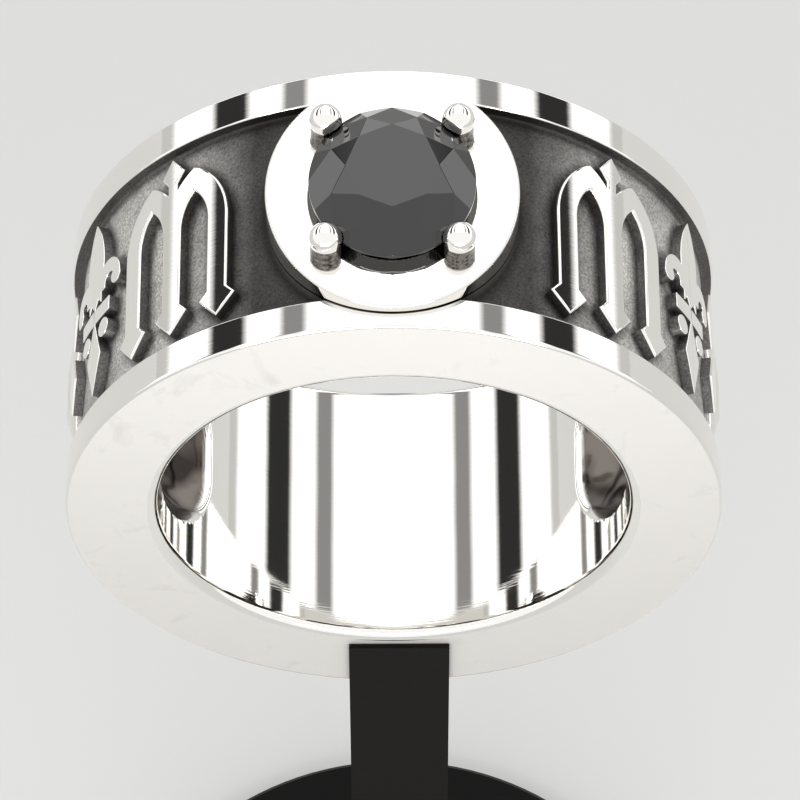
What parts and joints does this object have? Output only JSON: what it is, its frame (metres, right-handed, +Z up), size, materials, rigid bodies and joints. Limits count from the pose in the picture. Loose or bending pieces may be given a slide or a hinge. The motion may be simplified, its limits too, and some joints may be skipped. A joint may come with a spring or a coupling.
{
  "type": "skull ring on display stand",
  "caption": "Wide silver band with a black brilliant on a polished oval plate, gothic relief frieze and a raised skull on each flank, held upright by a plain black stand with a round foot.",
  "frame": {"origin": "on the floor, under the middle of the stand's round foot", "axes": "+Z up through the stone, the finger hole along Y with the ring's front face towards -Y"},
  "size_m": [0.0276, 0.0276, 0.0727],
  "materials": {
    "silver": "polished",
    "black_stone": "gloss",
    "black_lacquer": "gloss"
  },
  "bodies": {
    "root": {"band": "silver", "stone": "black_stone", "stand_post": "black_lacquer", "stand_foot": "black_lacquer"}
  },
  "joints": []
}
